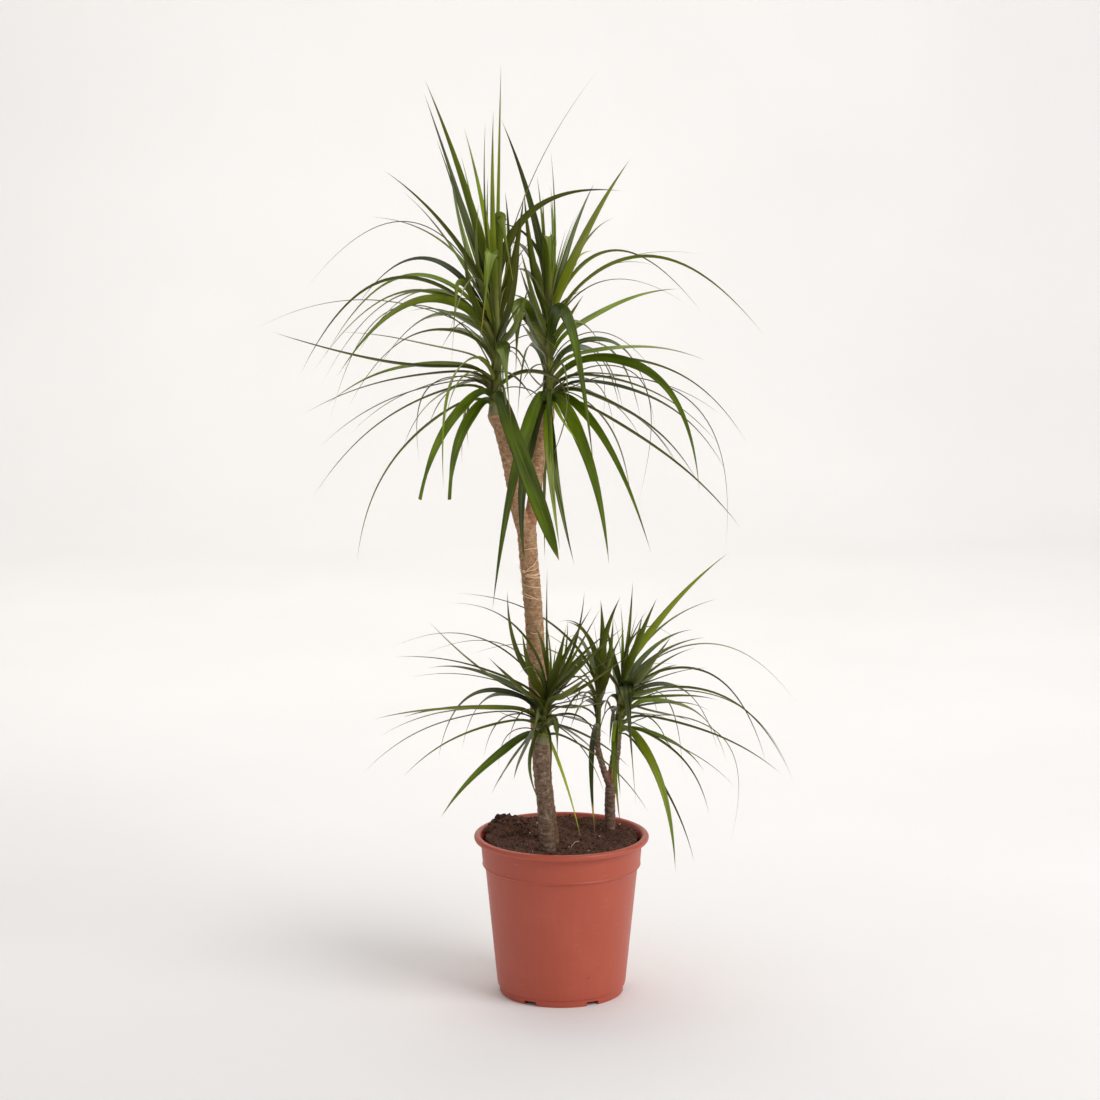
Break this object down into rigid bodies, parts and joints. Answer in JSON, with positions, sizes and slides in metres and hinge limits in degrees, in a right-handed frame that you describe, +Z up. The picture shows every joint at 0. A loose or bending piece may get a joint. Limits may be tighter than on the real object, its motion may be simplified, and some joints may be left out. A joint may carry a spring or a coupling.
{
  "type": "potted dracaena",
  "caption": "Dragon-tree house plant with bare canes and narrow arching leaves, growing in a plain round plastic pot of soil.",
  "frame": {"origin": "middle of the pot's underside, on the surface that it stands on", "axes": "+Z up along the plant, -Y towards the front of the plant, +X to the right seen from the front"},
  "size_m": [0.6337, 0.649, 1.1061],
  "materials": {
    "pot_plastic": "satin",
    "peat": "matte",
    "tan_bark": "matte",
    "grey_bark": "matte",
    "raffia": "matte",
    "leaf": "satin"
  },
  "bodies": {
    "root": {"pot": "pot_plastic", "soil": "peat", "cane_tall": "tan_bark", "cane_middle": "grey_bark", "cane_right": "grey_bark", "raffia_tie": "raffia", "crown_upper_left": "leaf", "crown_upper_right": "leaf", "crown_middle": "leaf", "crown_right_small": "leaf", "crown_right": "leaf"}
  },
  "joints": []
}
